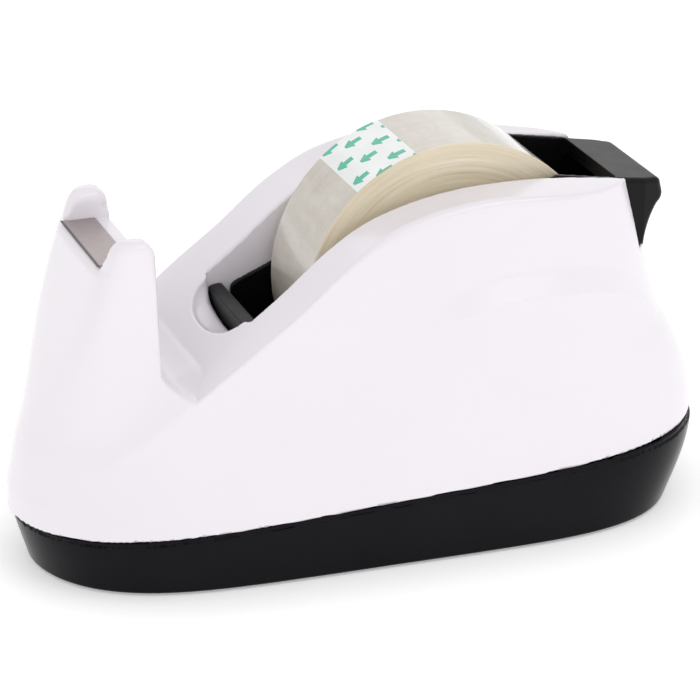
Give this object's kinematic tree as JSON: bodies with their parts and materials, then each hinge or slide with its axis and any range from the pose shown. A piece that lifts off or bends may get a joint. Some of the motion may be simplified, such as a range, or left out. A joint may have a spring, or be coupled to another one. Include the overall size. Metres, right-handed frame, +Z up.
{
  "type": "desktop packing tape dispenser",
  "caption": "Weighted desktop dispenser for wide packing tape: white shell with a serrated cutter nose, black wedge base and cradle, and a spinning tape reel that lifts out.",
  "frame": {"origin": "middle of the footprint at the bottom of the rubber feet", "axes": "+X from the cutting nose to the tail, +Y to the left for an eye at the nose looking towards the tail, +Z up"},
  "size_m": [0.2992, 0.1224, 0.1679],
  "materials": {
    "white_abs": "glossy injection-moulded ABS",
    "black_abs": "semi-gloss injection-moulded ABS",
    "blade_steel": "brushed along its length",
    "ballast_iron": "rough as cast",
    "screw_zinc": "bright zinc plate",
    "axle_steel": "turned bright steel",
    "foot_rubber": "matt rubber",
    "hub_plastic": "fine satin moulding",
    "tape_film": "clear film wound in many layers, faintly yellow",
    "core_board": "spiral-wound grey-brown paperboard",
    "label_film": "white printed film with green arrows"
  },
  "bodies": {
    "case": {"base_shell": "black_abs", "upper_shell": "white_abs", "inner_frame": "black_abs", "cutting_blade": "blade_steel", "ballast_left": "ballast_iron", "ballast_right": "ballast_iron", "rubber_foot_1": "foot_rubber", "rubber_foot_2": "foot_rubber", "rubber_foot_3": "foot_rubber", "rubber_foot_4": "foot_rubber", "case_screw_1": "screw_zinc", "case_screw_2": "screw_zinc", "case_screw_3": "screw_zinc", "case_screw_4": "screw_zinc", "ballast_screw_1": "screw_zinc", "ballast_screw_2": "screw_zinc", "ballast_screw_3": "screw_zinc", "ballast_screw_4": "screw_zinc", "frame_screw_1": "screw_zinc", "frame_screw_2": "screw_zinc", "frame_screw_3": "screw_zinc", "frame_screw_4": "screw_zinc"},
    "axle": {"reel_axle": "axle_steel"},
    "reel": {"hub_half_left": "hub_plastic", "hub_half_right": "hub_plastic", "tape_core": "core_board", "tape_roll": "tape_film", "start_label": "label_film"}
  },
  "joints": [
    {"name": "reel_lift", "type": "slide", "parent": "case", "child": "axle", "axis": [0, 0, 1], "range_m": [0, 0.12]},
    {"name": "reel_spin", "type": "hinge", "parent": "axle", "child": "reel", "pos_m": [0.0345, 0, 0.1036], "axis": [0, 1, 0], "continuous": true}
  ]
}
